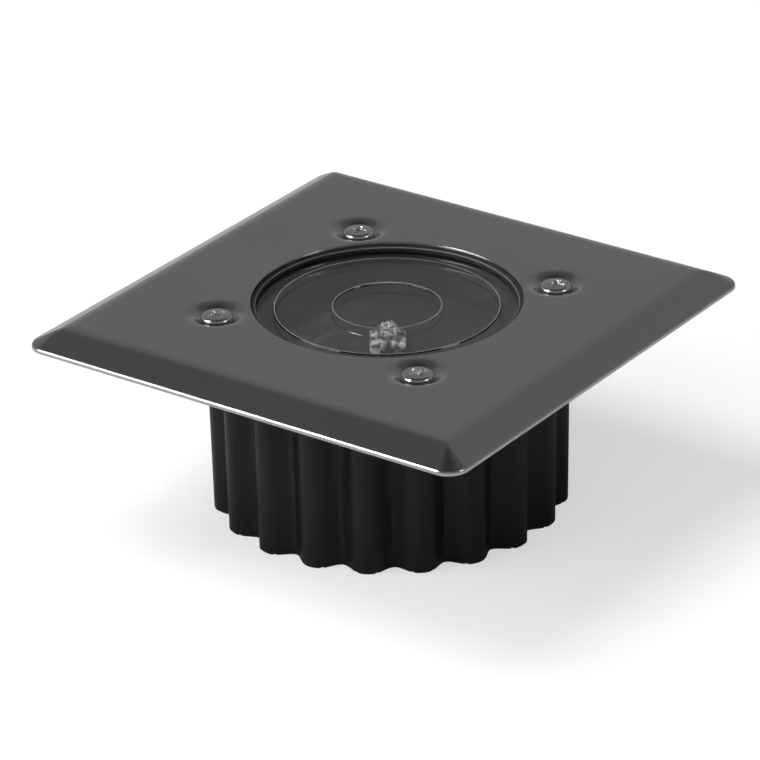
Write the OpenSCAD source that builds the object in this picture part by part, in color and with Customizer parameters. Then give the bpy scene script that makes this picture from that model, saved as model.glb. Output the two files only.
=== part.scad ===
// Square in-ground well light: a pressed steel cover over a clear lens, on a fluted plastic housing.
// Millimetres, +Z up. The origin is at the centre of the flat rim that the housing stands on.

/* [Cover plate] */
// Width of the square cover plate over its lips
plate_w = 110; // [104:1:130]
// Thickness of the pressed sheet
plate_t = 0.9; // [0.6:0.1:1.2]
// Width of the sloped border, seen from above
bevel_w = 4.1; // [3:0.1:4.5]
// Height of the sloped border
bevel_drop = 3.1; // [2.4:0.1:4]
// Outer radius of the fold between the flat top and the sloped border
fold_r = 3; // [1.6:0.2:4]
// Height of the upright lip below the sloped border
lip_h = 0.8; // [0.6:0.1:2]
// Outer corner radius of the cover plate
plate_corner_r = 6; // [5.8:0.1:12]
// Diameter of the round window
window_d = 58; // [54:0.5:60]
// Depth of the pressed dimple under each screw head
dimple_depth = 1.6; // [1:0.1:1.8]
// Radius of the flat floor of a dimple
dimple_floor_r = 3.9; // [3.7:0.1:4.3]
// Width of a dimple's sloped wall
dimple_slope_w = 1.2; // [0.5:0.1:1.3]

/* [Lens and seals] */
// Thickness of the clear lens at its rim
lens_t = 2.8; // [2:0.1:4]
// How far the lens reaches under the cover plate
lens_lap = 2.4; // [1.8:0.1:2.8]
// Diameter of the raised middle of the lens
lens_step_d = 48; // [40:0.2:49]
// Diameter of the inner disc of the lens
lens_disc_d = 23; // [18:0.2:28]
// Height of each step on the lens
lens_step_h = 0.3; // [0.2:0.05:0.5]
// Thickness of the gasket between the lens and the cover plate
gasket_t = 1; // [0.6:0.1:1.6]
// Thickness of the seal between the lens and the housing
seal_t = 0.8; // [0.5:0.1:1.4]

/* [Housing] */
// Diameter of the fluted housing over its lobes, at the bottom
housing_d = 77; // [76.6:0.2:82]
// Number of lobes round the housing
lobe_n = 20; // [16:1:22]
// Depth of the valleys between the lobes
lobe_depth = 3.3; // [2.4:0.1:3.6]
// Radius of each rounded lobe
lobe_r = 3; // [2.6:0.1:3.3]
// Radius of each hollow between two lobes
valley_r = 4.9; // [4.6:0.1:5.6]
// Draft of the moulded walls, in degrees
draft_angle = 0.7; // [0:0.1:1]
// Wall thickness of the skirt at the valleys
skirt_t = 2; // [1.6:0.1:2.2]
// Wall thickness of the inner cup
cup_t = 2.2; // [1.8:0.1:2.4]
// Thickness of the cup's floor
floor_t = 2.5; // [2:0.1:3.5]
// Space below the cup's floor
recess_h = 14; // [13:0.5:24]
// Space for the wiring between the floor and the board
wiring_h = 9.5; // [9:0.5:16]
// Height from the tray's floor to the lens
lamp_h = 8.7; // [8:0.1:14]
// Thickness of the round flange under the cover plate
flange_t = 2.6; // [2:0.1:3.4]
// Number of ribs between the cup and the skirt
rib_n = 8; // [4:4:12]
// Thickness of each rib
rib_t = 1.6; // [1.2:0.1:2.2]

/* [Cover screws] */
// Diameter of a screw head
head_d = 7; // [6:0.1:7.4]
// Height of a screw head
head_h = 1.9; // [1.6:0.1:2.6]
// Diameter of a screw's thread
screw_d = 3.4; // [3:0.1:3.6]
// Length of a screw below its head
screw_l = 8; // [7:0.5:9]
// Outer diameter of a brass insert
insert_d = 5; // [4.8:0.1:5.6]
// Length of a brass insert
insert_l = 6; // [4:0.5:7]
// Wall between the lens recess and an insert
insert_wall = 2.3; // [2.2:0.1:4]

/* [Lamp] */
// Turn of the lamp and its board about the upright axis, in degrees
lamp_turn = 35; // [0:1:90]
// Side of the lamp's square base
lamp_w = 7.6; // [6.6:0.1:8]
// Height of the lamp's square base
lamp_base_h = 2.2; // [1.9:0.1:2.6]
// Diameter of the lamp's dome
dome_d = 4.6; // [3.6:0.1:5]
// Height of the dome above the base
dome_h = 4.4; // [3.4:0.1:4.8]
// Thickness of the tray's floor and wall
tray_t = 1; // [0.8:0.1:1.4]
// Diameter of the circuit board
board_d = 48; // [44:1:52]
// Thickness of the circuit board
board_t = 1.6; // [1:0.1:2]
// Gap between the board and the tray
board_gap = 4; // [3.2:0.1:6]

/* [Cable gland] */
// Diameter of the gland's thread
gland_d = 12; // [11:0.5:13]
// Width across flats of the gland's hexagons
gland_af = 15.4; // [15.2:0.1:17]
// Bore for the cable
cable_d = 6; // [4:0.5:6.5]
// Height of the gland's hexagon collar
gland_collar_h = 3.3; // [2.6:0.1:4]
// Height of the gland's clamping nut
gland_nut_h = 8; // [7:0.1:9]
// Thickness of the gland's sealing washer
gland_washer_t = 1.2; // [0.8:0.1:1.6]
// Height of the locknut inside the cup
locknut_h = 3; // [2.4:0.1:4]

/* [Hidden] */
$fn = 96;

// One overrun for every cut, and the clearances
over = 1;
slide_gap = 0.05;
seat_gap = 0.3;
lead_gap = 0.15;
edge_c = 0.4;

// Heights, from the standing rim upwards
floor_z = recess_h;
cup_z = floor_z + floor_t;
board_z = cup_z + wiring_h;
tray_z = board_z + board_t + board_gap;
lamp_z = tray_z + tray_t;
lens_z = lamp_z + lamp_h;
seat_z = lens_z - seal_t;
lens_top_z = lens_z + lens_t;
plate_under_z = lens_top_z + gasket_t;
total_h = plate_under_z + plate_t;
flange_top_z = plate_under_z - dimple_depth;
flange_z = flange_top_z - flange_t;

// Radii, from the window outwards
window_r = window_d / 2;
window_edge = plate_t / 4;
lens_r = window_r + lens_lap;
recess_r = lens_r + seat_gap;
gasket_in_r = window_r - gasket_t;
gasket_out_r = window_r + lens_lap * 0.75;
cup_bore_r = window_r - seal_t + slide_gap * 4;
ledge_w = 1.6;
cup_low_r = cup_bore_r - ledge_w;
seal_in_r = cup_bore_r + seat_gap;
screw_r = recess_r + insert_wall + insert_d / 2;
flange_edge = 3.9;
flange_r = screw_r + insert_d / 2 + flange_edge;
seat_wall = 2.2;
boss_r = insert_d / 2 + flange_edge * 0.42;
boss_h = insert_l + screw_d;

// Fluted outline of the skirt
tip_r = housing_d / 2;
root_r = tip_r - lobe_depth;
core_r = root_r + lobe_depth * 0.36;
relief_r = lobe_r - edge_c * 2.5;
relief_at_r = tip_r - lobe_r - relief_r * 0.6;
draft_rise = tan(draft_angle);
lobe_phase = -62.6;
rib_z = edge_c * 10;

// Sloped border of the cover plate
slope_angle = atan(bevel_drop / bevel_w);
corner_at = plate_w / 2 - plate_corner_r;
plate_depth = bevel_drop + lip_h;

// Screw and insert details
screw_hole_d = 4;
insert_bore_d = screw_d + slide_gap * 2;
cross_w = 0.9;
cross_l = 4;
cross_depth = 1.2;
insert_groove_w = 1;
insert_groove_depth = 0.3;

// Lamp details
frame_t = 0.3;
frame_w = 2.2;
frame_l = 6;
frame_share = 0.4;
lead_w = 0.6;
lead_pitch = 5.08;
lead_end = 1;
die_w = 0.5;
die_t = 0.2;
cup_rim_r = 1;
cup_rim_h = 0.5;
cup_hollow_r = 0.8;
base_notch = 0.8;

// Tray and board details
tray_r = cup_bore_r - seat_gap;
tray_rim_gap = 0.2;
tray_boss_r = 2.6;
board_screw_at = 19;
board_screw_d = 2.3;
board_screw_l = 5;
board_head_d = 4.6;
board_head_h = 1.6;
pin_w = 0.7;
pin_out = 0.8;

// Parts under the board: places are shares of the board's radius
board_r = board_d / 2;
terminal_share = [-0.68, 0];
capacitor_share = [0.36, 0.6];
rectifier_share = [0.5, -0.44];
resistor_share = [0.75, 0.12];
terminal_size = [9, 10.2, 7.6];
terminal_pitch = 5.08;
terminal_wire_d = 2.8;
terminal_screw_d = 2.8;
terminal_clamp_w = 3.6;
terminal_clamp_h = 3.4;
terminal_wire_drop = 3.6;
capacitor_d = 6.3;
capacitor_h = 7;
rectifier_size = [8.2, 6.4, 3.2];
resistor_d = 2.6;
resistor_l = 6.4;
resistor_span = 10;
part_standoff = 0.6;

// Gland details
gland_bore_d = cable_d + 0.5;
gland_seal_d = 8.6;
gland_seal_l = 4.2;
gland_seal_wall = (gland_seal_d - cable_d) / 2;
gland_tail_d = 10.8;
gland_tail_l = 5;
gland_inner_l = 5.6;
gland_collar_z = floor_z - gland_washer_t - gland_collar_h;
gland_nut_z = gland_collar_z - gland_nut_h;
locknut_af = 16;

steel = "#b9b8b4";
plastic = "#202124";
rubber = "#151515";

// Shared shapes

module at_screws() {
    for (i = [0:3]) at_screw(i) children();
}

module at_screw(i) {
    rotate([0, 0, 45 + 90 * i]) translate([screw_r, 0, 0]) rotate([0, 0, -45 - 90 * i]) children();
}

module tube(outer_r, inner_r, h) {
    difference() {
        cylinder(h = h, r = outer_r);
        translate([0, 0, -over]) cylinder(h = h + 2 * over, r = inner_r);
    }
}

module hexagon(af, h) {
    cylinder(h = h, d = af / cos(30), $fn = 6);
}

// Cover plate

// The plate's section outside its corner points; inset is the depth below the sheet's top face
module border_outline(inset) {
    reach = plate_corner_r - inset;
    half_turn = tan(slope_angle / 2);
    fold_x = plate_corner_r - bevel_w - inset * half_turn;
    bend = (fold_r - inset) * half_turn;
    slope_end = inset + (reach - fold_x) * tan(slope_angle);
    bottom = inset > 0 ? plate_depth + over : plate_depth;
    polygon([
        [0, -inset],
        [fold_x - bend, -inset],
        [fold_x + bend * cos(slope_angle), -inset - bend * sin(slope_angle)],
        [reach, -slope_end],
        [reach, -bottom],
        [0, -bottom]
    ]);
    intersection() {
        translate([fold_x - bend, -fold_r]) circle(r = fold_r - inset);
        translate([0, -bottom]) square([reach, bottom - inset]);
    }
}

// A square block, with the border's section drawn along each side and turned round each corner
module plate_solid(inset) {
    bottom = inset > 0 ? plate_depth + over : plate_depth;
    translate([-corner_at, -corner_at, -bottom]) cube([2 * corner_at, 2 * corner_at, bottom - inset]);
    for (i = [0:3]) rotate([0, 0, 90 * i]) {
        translate([corner_at, corner_at, 0]) rotate([90, 0, 0])
            linear_extrude(height = 2 * corner_at) border_outline(inset);
        translate([corner_at, corner_at, 0]) rotate_extrude(angle = 90) border_outline(inset);
    }
}

module cover_plate() {
    color(steel) translate([0, 0, total_h]) difference() {
        union() {
            difference() {
                plate_solid(0);
                plate_solid(plate_t);
            }
            at_screws() translate([0, 0, -plate_t - dimple_depth]) cylinder(
                h = plate_t / 2 + dimple_depth,
                r1 = dimple_floor_r + plate_t / 2,
                r2 = dimple_floor_r + dimple_slope_w + plate_t / 2
            );
        }
        translate([0, 0, -plate_t - over]) cylinder(h = plate_t + 2 * over, r = window_r);
        translate([0, 0, -window_edge]) cylinder(
            h = 2 * window_edge, r1 = window_r, r2 = window_r + 2 * window_edge);
        at_screws() {
            translate([0, 0, -dimple_depth]) cylinder(
                h = dimple_depth * 2,
                r1 = dimple_floor_r,
                r2 = dimple_floor_r + dimple_slope_w * 2
            );
            translate([0, 0, -plate_depth]) cylinder(h = plate_depth, d = screw_hole_d);
        }
    }
}

// Cover screws and their inserts

// A pan head: a short upright side and a domed top that blends into a flat
module pan_head(d, h) {
    r = d / 2;
    rotate_extrude() polygon([
        [0, 0],
        [r * 0.94, 0],
        [r, h * 0.16],
        [r * 0.98, h * 0.42],
        [r * 0.88, h * 0.68],
        [r * 0.68, h * 0.88],
        [r * 0.4, h * 0.98],
        [0, h]
    ]);
}

module cross_recess(w, l, depth) {
    for (turn = [0, 90]) rotate([0, 0, turn]) translate([-l / 2, -w / 2, -depth * 0.7])
        cube([l, w, depth]);
    translate([0, 0, -depth]) cylinder(h = depth * 1.2, r1 = w * 0.3, r2 = w * 1.1);
}

module screw(d, l, top_d, top_h) {
    difference() {
        union() {
            pan_head(top_d, top_h);
            translate([0, 0, -l + d / 2]) cylinder(h = l - d / 2 + top_h / 2, d = d);
            translate([0, 0, -l]) cylinder(h = d / 2, d1 = d / 2, d2 = d);
        }
        translate([0, 0, top_h]) rotate([0, 0, 20]) cross_recess(top_d * cross_w / head_d,
            top_d * cross_l / head_d, top_d * cross_depth / head_d);
    }
}

module cover_screw(i) {
    color("silver") at_screw(i) translate([0, 0, total_h - dimple_depth])
        rotate([0, 0, 37 * i]) screw(screw_d, screw_l, head_d, head_h);
}

module thread_insert(i) {
    color("goldenrod") at_screw(i) translate([0, 0, flange_top_z - insert_l]) difference() {
        cylinder(h = insert_l, d = insert_d - 2 * slide_gap);
        translate([0, 0, -over]) cylinder(h = insert_l + 2 * over, d = insert_bore_d);
        translate([0, 0, (insert_l - insert_groove_w) / 2])
            tube(insert_d, insert_d / 2 - insert_groove_depth, insert_groove_w);
    }
}

// Lens and its seals

module lens() {
    step_r = lens_step_d / 2;
    disc_r = lens_disc_d / 2;
    color("gainsboro") translate([0, 0, lens_z]) difference() {
        union() {
            cylinder(h = lens_t, r = lens_r);
            translate([0, 0, lens_t / 2]) cylinder(h = lens_t / 2, r = step_r + lens_step_h);
            translate([0, 0, lens_t]) cylinder(
                h = lens_step_h, r1 = step_r + lens_step_h, r2 = step_r);
        }
        translate([0, 0, lens_t]) cylinder(
            h = 2 * lens_step_h, r1 = disc_r, r2 = disc_r + 2 * lens_step_h);
    }
}

module lens_gasket() {
    color(rubber) translate([0, 0, lens_top_z]) tube(gasket_out_r, gasket_in_r, gasket_t);
}

module lens_seal() {
    color(rubber) translate([0, 0, seat_z]) tube(lens_r, seal_in_r, seal_t);
}

// Housing

// A round post with the moulding's draft and a small chamfer round its foot; grow is -1 for a hollow
module drafted_post(r, h, grow) {
    rotate_extrude() polygon([
        [0, 0],
        [r - grow * edge_c, 0],
        [r, edge_c],
        [r + grow * h * draft_rise, h],
        [0, h]
    ]);
}

module fluted_body(h) {
    step = 360 / lobe_n;
    difference() {
        union() {
            drafted_post(core_r, h, 1);
            for (i = [0:lobe_n - 1]) rotate([0, 0, lobe_phase + step * i])
                translate([tip_r - lobe_r, 0, 0]) drafted_post(lobe_r, h, 1);
        }
        for (i = [0:lobe_n - 1]) rotate([0, 0, lobe_phase + step * (i + 0.5)])
            translate([root_r + valley_r, 0, 0]) {
                drafted_post(valley_r, h + over, -1);
                translate([0, 0, -over]) cylinder(h = over, r = valley_r + edge_c);
            }
    }
}

module skirt() {
    difference() {
        fluted_body(flange_z + flange_t / 2);
        translate([0, 0, -over]) cylinder(h = flange_z + over, r = root_r - skirt_t);
        for (i = [0:lobe_n - 1]) rotate([0, 0, lobe_phase + 360 / lobe_n * i])
            translate([relief_at_r, 0, -over]) cylinder(h = flange_z + over, r = relief_r);
    }
}

module cup() {
    step_z = tray_z - cup_t;
    translate([0, 0, floor_z]) cylinder(h = step_z - floor_z, r = cup_low_r + cup_t);
    translate([0, 0, step_z]) cylinder(h = flange_top_z - step_z, r = cup_bore_r + cup_t);
    translate([0, 0, seat_z - seat_wall])
        cylinder(h = flange_top_z - seat_z + seat_wall, r = recess_r + seat_wall);
    translate([0, 0, flange_z]) cylinder(h = flange_t, r = flange_r);
    at_screws() translate([0, 0, flange_top_z - boss_h]) cylinder(h = boss_h, r = boss_r);
}

module ribs() {
    rib_r = cup_low_r + cup_t / 2;
    for (i = [0:rib_n - 1]) rotate([0, 0, 360 / rib_n * (i + 0.5)])
        translate([rib_r, -rib_t / 2, rib_z])
            cube([root_r - skirt_t / 2 - rib_r, rib_t, flange_z - rib_z + flange_t / 2]);
}

module housing() {
    color(plastic) difference() {
        union() {
            skirt();
            cup();
            ribs();
        }
        translate([0, 0, cup_z]) cylinder(h = total_h, r = cup_low_r);
        translate([0, 0, tray_z]) cylinder(h = total_h, r = cup_bore_r);
        translate([0, 0, seat_z]) cylinder(h = total_h, r = recess_r);
        translate([0, 0, floor_z - over]) cylinder(h = floor_t + 2 * over, d = gland_d + seat_gap);
        at_screws() {
            translate([0, 0, flange_top_z - insert_l]) cylinder(h = insert_l + over, d = insert_d);
            translate([0, 0, flange_top_z - boss_h + screw_d / 4])
                cylinder(h = boss_h, d = screw_d + seat_gap);
        }
    }
}

// Tray under the lens

module inner_tray() {
    color(plastic) rotate([0, 0, lamp_turn]) difference() {
        union() {
            translate([0, 0, tray_z]) difference() {
                cylinder(h = tray_t + lamp_h - tray_rim_gap, r = tray_r);
                translate([0, 0, tray_t]) cylinder(h = lamp_h + over, r = tray_r - tray_t);
            }
            for (side = [-1, 1]) translate([0, side * board_screw_at, tray_z - board_gap])
                cylinder(h = board_gap + tray_t / 2, r = tray_boss_r);
        }
        for (side = [-1, 1]) translate([0, side * board_screw_at, tray_z - board_gap - over])
            cylinder(h = board_gap + over, d = board_screw_d + 2 * slide_gap);
        at_leads() translate([0, 0, tray_z - over]) cylinder(h = tray_t + 2 * over, d = lead_w * 2);
    }
}

// Lamp

module at_leads() {
    for (x = [-1, 1], y = [-1, 1]) translate([x * lead_pitch / 2, y * lead_pitch / 2, 0]) children();
}

module lamp_shell() {
    half = lamp_w / 2;
    translate([0, 0, lamp_z]) linear_extrude(height = lamp_base_h) polygon([
        [-half, -half],
        [half, -half],
        [half, half - base_notch],
        [half - base_notch, half],
        [-half, half]
    ]);
    translate([0, 0, lamp_z + lamp_base_h / 2])
        cylinder(h = lamp_base_h / 2 + dome_h - dome_d / 2, d = dome_d);
    translate([0, 0, lamp_z + lamp_base_h + dome_h - dome_d / 2]) sphere(d = dome_d);
}

// Two halves of the lead frame, each with two leads; one half carries the die in a small cup
module frame_shape() {
    plate_z = lamp_z + lamp_base_h * frame_share;
    rim_z = plate_z + frame_t + cup_rim_h;
    difference() {
        union() {
            for (side = [-1, 1])
                translate([side * lead_pitch / 2 - frame_w / 2, -frame_l / 2, plate_z])
                    cube([frame_w, frame_l, frame_t]);
            translate([-lead_pitch / 2, -cup_rim_r, plate_z])
                cube([lead_pitch / 2 + cup_rim_r, 2 * cup_rim_r, frame_t]);
            translate([0, 0, plate_z]) cylinder(h = frame_t + cup_rim_h, r = cup_rim_r);
            at_leads() translate([-lead_w / 2, -lead_w / 2, board_z - lead_end])
                cube([lead_w, lead_w, plate_z - board_z + lead_end + frame_t / 2]);
        }
        translate([0, 0, rim_z - cup_rim_h])
            cylinder(h = 2 * cup_rim_h, r1 = die_w, r2 = 2 * cup_hollow_r - die_w);
    }
}

module die_shape() {
    translate([-die_w / 2, -die_w / 2, lamp_z + lamp_base_h * frame_share + frame_t])
        cube([die_w, die_w, die_t]);
}

module lamp_body() {
    color("whitesmoke") rotate([0, 0, lamp_turn]) difference() {
        lamp_shell();
        frame_shape();
        die_shape();
    }
}

module lamp_frame() {
    color("silver") rotate([0, 0, lamp_turn]) frame_shape();
}

module lamp_die() {
    color("gold") rotate([0, 0, lamp_turn]) die_shape();
}

// Circuit board and what it carries

function on_board(share) = [share[0] * board_r, share[1] * board_r, board_z];

module pin_pair(span, drop) {
    for (side = [-1, 1]) translate([-pin_w / 2, side * span / 2 - pin_w / 2, -drop])
        cube([pin_w, pin_w, drop + board_t + pin_out]);
}

module pin_holes(span) {
    for (side = [-1, 1]) translate([0, side * span / 2, -over])
        cylinder(h = board_t + 2 * over, d = pin_w * 1.5 + lead_gap);
}

module circuit_board() {
    color("darkgreen") rotate([0, 0, lamp_turn]) difference() {
        translate([0, 0, board_z]) cylinder(h = board_t, r = board_r);
        for (side = [-1, 1]) translate([0, side * board_screw_at, board_z - over])
            cylinder(h = board_t + 2 * over, d = board_screw_d + seat_gap);
        at_leads() translate([0, 0, board_z - over])
            cylinder(h = board_t + 2 * over, d = lead_w * 1.5 + lead_gap);
        translate(on_board(terminal_share)) pin_holes(terminal_pitch);
        translate(on_board(capacitor_share)) pin_holes(capacitor_d * 0.4);
        translate(on_board(resistor_share)) pin_holes(resistor_span);
        translate(on_board(rectifier_share)) for (side = [-1, 1])
            translate([side * rectifier_size[0] * 0.3, 0, 0]) pin_holes(rectifier_size[1]);
    }
}

module board_screw(side) {
    color("silver") rotate([0, 0, lamp_turn]) translate([0, side * board_screw_at, board_z])
        mirror([0, 0, 1]) screw(board_screw_d, board_screw_l, board_head_d, board_head_h);
}

module resistor() {
    drop = part_standoff + resistor_d / 2;
    color("tan") rotate([0, 0, lamp_turn]) translate(on_board(resistor_share)) {
        translate([0, resistor_l / 2, -drop]) rotate([90, 0, 0]) cylinder(h = resistor_l, d = resistor_d);
        translate([0, (resistor_span + pin_w) / 2, -drop]) rotate([90, 0, 0])
            cylinder(h = resistor_span + pin_w, d = pin_w);
        pin_pair(resistor_span, drop);
    }
}

module rectifier() {
    size = rectifier_size;
    color("dimgray") rotate([0, 0, lamp_turn]) translate(on_board(rectifier_share)) {
        translate([-size[0] / 2, -size[1] / 2 + pin_w, -part_standoff - size[2]])
            cube([size[0], size[1] - 2 * pin_w, size[2]]);
        for (side = [-1, 1]) translate([side * size[0] * 0.3, 0, 0]) {
            pin_pair(size[1], part_standoff + size[2] / 2);
            translate([-pin_w / 2, -size[1] / 2 - pin_w / 2, -part_standoff - size[2] / 2])
                cube([pin_w, size[1] + pin_w, frame_t]);
        }
    }
}

module capacitor() {
    color("midnightblue") rotate([0, 0, lamp_turn]) translate(on_board(capacitor_share)) {
        translate([0, 0, -capacitor_h]) cylinder(h = capacitor_h, d = capacitor_d);
        pin_pair(capacitor_d * 0.4, pin_out);
    }
}

module at_terminals() {
    for (side = [-1, 1]) translate(on_board(terminal_share))
        translate([0, side * terminal_pitch / 2, 0]) children();
}

module clamp_space(gap) {
    w = terminal_clamp_w + 2 * gap;
    translate([-w / 2, -w / 2, -terminal_wire_drop - terminal_clamp_h / 2 - gap])
        cube([w, w, terminal_clamp_h + 2 * gap]);
}

module terminal_block() {
    size = terminal_size;
    color("seagreen") rotate([0, 0, lamp_turn]) difference() {
        translate(on_board(terminal_share)) translate([-size[0] / 2, -size[1] / 2, -size[2]]) cube(size);
        at_terminals() {
            clamp_space(slide_gap);
            translate([-size[0] / 2 - over, 0, -terminal_wire_drop]) rotate([0, 90, 0])
                cylinder(h = size[0] / 2 + over, d = terminal_wire_d);
            translate([0, 0, -size[2] - over]) cylinder(h = size[2] - terminal_wire_drop + over,
                d = terminal_screw_d + 2 * slide_gap);
            translate([0, 0, -terminal_wire_drop]) cylinder(h = size[2], d = pin_w * 1.5 + lead_gap);
        }
    }
}

module terminal_clamps() {
    color("silver") rotate([0, 0, lamp_turn]) at_terminals() {
        difference() {
            clamp_space(0);
            translate([-terminal_clamp_w, 0, -terminal_wire_drop]) rotate([0, 90, 0])
                cylinder(h = 2 * terminal_clamp_w, d = terminal_wire_d * 0.7);
            translate([0, 0, -2 * terminal_wire_drop])
                cylinder(h = terminal_wire_drop, d = terminal_screw_d * 0.7 + 2 * slide_gap);
        }
        translate([-pin_w / 2, -pin_w / 2, -terminal_wire_drop + terminal_clamp_h / 2])
            cube([pin_w, pin_w, terminal_wire_drop - terminal_clamp_h / 2 + board_t + pin_out]);
    }
}

module terminal_screws() {
    depth = terminal_size[2] - part_standoff;
    color("silver") rotate([0, 0, lamp_turn]) at_terminals() difference() {
        union() {
            translate([0, 0, -depth]) cylinder(
                h = depth - terminal_wire_drop - terminal_clamp_h / 2 - slide_gap, d = terminal_screw_d);
            translate([0, 0, -depth]) cylinder(h = depth - terminal_wire_drop - terminal_wire_d * 0.35,
                d = terminal_screw_d * 0.7);
        }
        translate([-terminal_screw_d, -frame_t, -depth - over])
            cube([2 * terminal_screw_d, 2 * frame_t, over + frame_t]);
    }
}

// Cable gland

module gland_body() {
    collar_top = gland_collar_z + gland_collar_h;
    inner_top = cup_z + gland_inner_l;
    color("#2b2c2f") difference() {
        union() {
            translate([0, 0, gland_collar_z]) hexagon(gland_af, gland_collar_h);
            translate([0, 0, collar_top - over])
                cylinder(h = inner_top - collar_top + over, d = gland_d);
            translate([0, 0, gland_collar_z - gland_tail_l])
                cylinder(h = gland_tail_l + over, d = gland_tail_d);
        }
        translate([0, 0, -over]) cylinder(h = total_h, d = gland_bore_d);
        translate([0, 0, gland_collar_z - gland_tail_l - over])
            cylinder(h = gland_seal_l + over, d = gland_seal_d + 2 * slide_gap);
    }
}

module gland_washer() {
    color(rubber) translate([0, 0, floor_z - gland_washer_t])
        tube(gland_af / 2, gland_d / 2 + slide_gap, gland_washer_t);
}

module gland_locknut() {
    color("#2b2c2f") translate([0, 0, cup_z]) difference() {
        hexagon(locknut_af, locknut_h);
        translate([0, 0, -over]) cylinder(h = locknut_h + 2 * over, d = gland_d + 2 * slide_gap);
    }
}

module gland_seal() {
    color(rubber) translate([0, 0, gland_collar_z - gland_tail_l])
        tube(gland_seal_d / 2, gland_seal_d / 2 - gland_seal_wall, gland_seal_l);
}

module gland_nut() {
    nut_r = gland_af / 2;
    inner_z = gland_collar_z - gland_tail_l;
    color("#2b2c2f") difference() {
        intersection() {
            translate([0, 0, gland_nut_z]) hexagon(gland_af, gland_nut_h - slide_gap);
            translate([0, 0, gland_nut_z]) rotate_extrude() polygon([
                [0, 0],
                [nut_r * 0.72, 0],
                [nut_r * 0.94, gland_nut_h * 0.12],
                [nut_r * 1.06, gland_nut_h * 0.32],
                [nut_r / cos(30), gland_nut_h * 0.5],
                [nut_r / cos(30), gland_nut_h],
                [0, gland_nut_h]
            ]);
        }
        translate([0, 0, gland_nut_z - over]) cylinder(h = gland_nut_h, d = gland_bore_d);
        translate([0, 0, inner_z]) cylinder(h = gland_nut_h, d = gland_tail_d + 2 * slide_gap);
    }
}

cover_plate();
lens_gasket();
lens();
lens_seal();
housing();
inner_tray();
for (i = [0:3]) cover_screw(i);
for (i = [0:3]) thread_insert(i);
lamp_body();
lamp_frame();
lamp_die();
circuit_board();
board_screw(-1);  // board_screw_1
board_screw(1);  // board_screw_2
resistor();
rectifier();
capacitor();
terminal_block();
terminal_screws();
terminal_clamps();
gland_body();
gland_washer();
gland_locknut();
gland_seal();
gland_nut();
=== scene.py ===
"""Looks for the square in-ground well light: steel cover, clear lens and fluted black housing."""

import math

import bmesh
import bpy
from mathutils import Matrix, Vector, noise


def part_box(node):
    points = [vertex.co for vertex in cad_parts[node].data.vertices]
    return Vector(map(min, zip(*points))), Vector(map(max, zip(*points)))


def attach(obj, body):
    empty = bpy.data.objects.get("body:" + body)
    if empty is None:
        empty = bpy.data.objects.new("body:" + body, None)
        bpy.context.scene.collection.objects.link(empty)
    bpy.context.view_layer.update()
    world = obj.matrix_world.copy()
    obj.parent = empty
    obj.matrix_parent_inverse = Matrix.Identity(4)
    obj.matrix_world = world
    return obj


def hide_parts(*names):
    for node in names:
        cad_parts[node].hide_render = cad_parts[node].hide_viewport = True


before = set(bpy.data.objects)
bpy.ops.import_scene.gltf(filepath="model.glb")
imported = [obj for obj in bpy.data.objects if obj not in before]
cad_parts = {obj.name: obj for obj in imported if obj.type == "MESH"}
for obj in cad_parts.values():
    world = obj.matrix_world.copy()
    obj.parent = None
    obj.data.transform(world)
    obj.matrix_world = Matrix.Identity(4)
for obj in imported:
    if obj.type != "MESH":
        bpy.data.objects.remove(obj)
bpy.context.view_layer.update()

MM = 0.001
ROOT = "root"

# Places from the CAD, in metres

PLATE_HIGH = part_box("cover_plate")[1]
SCREW_LOW, SCREW_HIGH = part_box("cover_screw_1")
LENS_LOW, LENS_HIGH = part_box("lens")
GASKET_LOW, GASKET_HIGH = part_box("lens_gasket")
LAMP_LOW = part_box("lamp_body")[0]
RESISTOR_LOW, RESISTOR_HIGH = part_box("resistor")
CAPACITOR_LOW, CAPACITOR_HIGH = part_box("capacitor")

# Cover plate, with lengths in millimetres; its dimples' centres are the screws'

PLATE_HALF = PLATE_HIGH.x / MM
PLATE_TOP = PLATE_HIGH.z / MM
SHEET = 0.9
BEVEL_W = 6.2
BEVEL_DROP = 3.35
BEVEL_SLOPE = math.atan2(BEVEL_DROP, BEVEL_W)
FOLD_R = 7.6
FOLD_END = BEVEL_W + FOLD_R * math.tan(BEVEL_SLOPE / 2)
FLAT_MARGINS = (0.5, 0.2)
EDGE_R = 0.7
LIP_H = 0.9
LIP_ROUND = 0.14
LIP_FACE_GAP = 0.02
PLATE_DEPTH = BEVEL_DROP + LIP_H
INNER_CORNER_DROP = 0.15
INNER_CORNER_IN = 0.12
INNER_CORNER_RISE = 0.02
CORNER_R = 4.5
CORNER_SOFT = 2.2
WINDOW_R = 29.0
WINDOW_RINGS = (0.2, 0.34, 0.6, 0.9)
FLAT_RINGS = 47
FLAT_RING_FIRST = 1.2
FLAT_RING_STEP = 0.3
WINDOW_WALL = ((0.05, SHEET - 0.03), (0.0, SHEET - 0.12), (0.0, SHEET / 2), (0.0, 0.2), (0.015, 0.12),
               (0.06, 0.05), (0.12, 0.012))
DIMPLE_DEPTH = 1.6
DIMPLE_FLOOR = 3.5
DIMPLE_EDGE = 7.5
DIMPLE_POWER = 2.3
PRESS_DEPTH = 0.01
PRESS_SCALE = 0.045
PRESS_SEED = 3.1
WAVE_DEPTH = 0.03
WAVE_REACH = 0.6
WAVE_SCALE = 0.09
WAVE_SEED = 7.7
HOLE_R = 2.0
HOLE_CUT_BELOW = 8.0
HOLE_CUT_ABOVE = 2.0

# How finely the plate is divided; its last outer rings take the cut edge's lighter steel, a painted
# highlight on the lip

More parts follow.
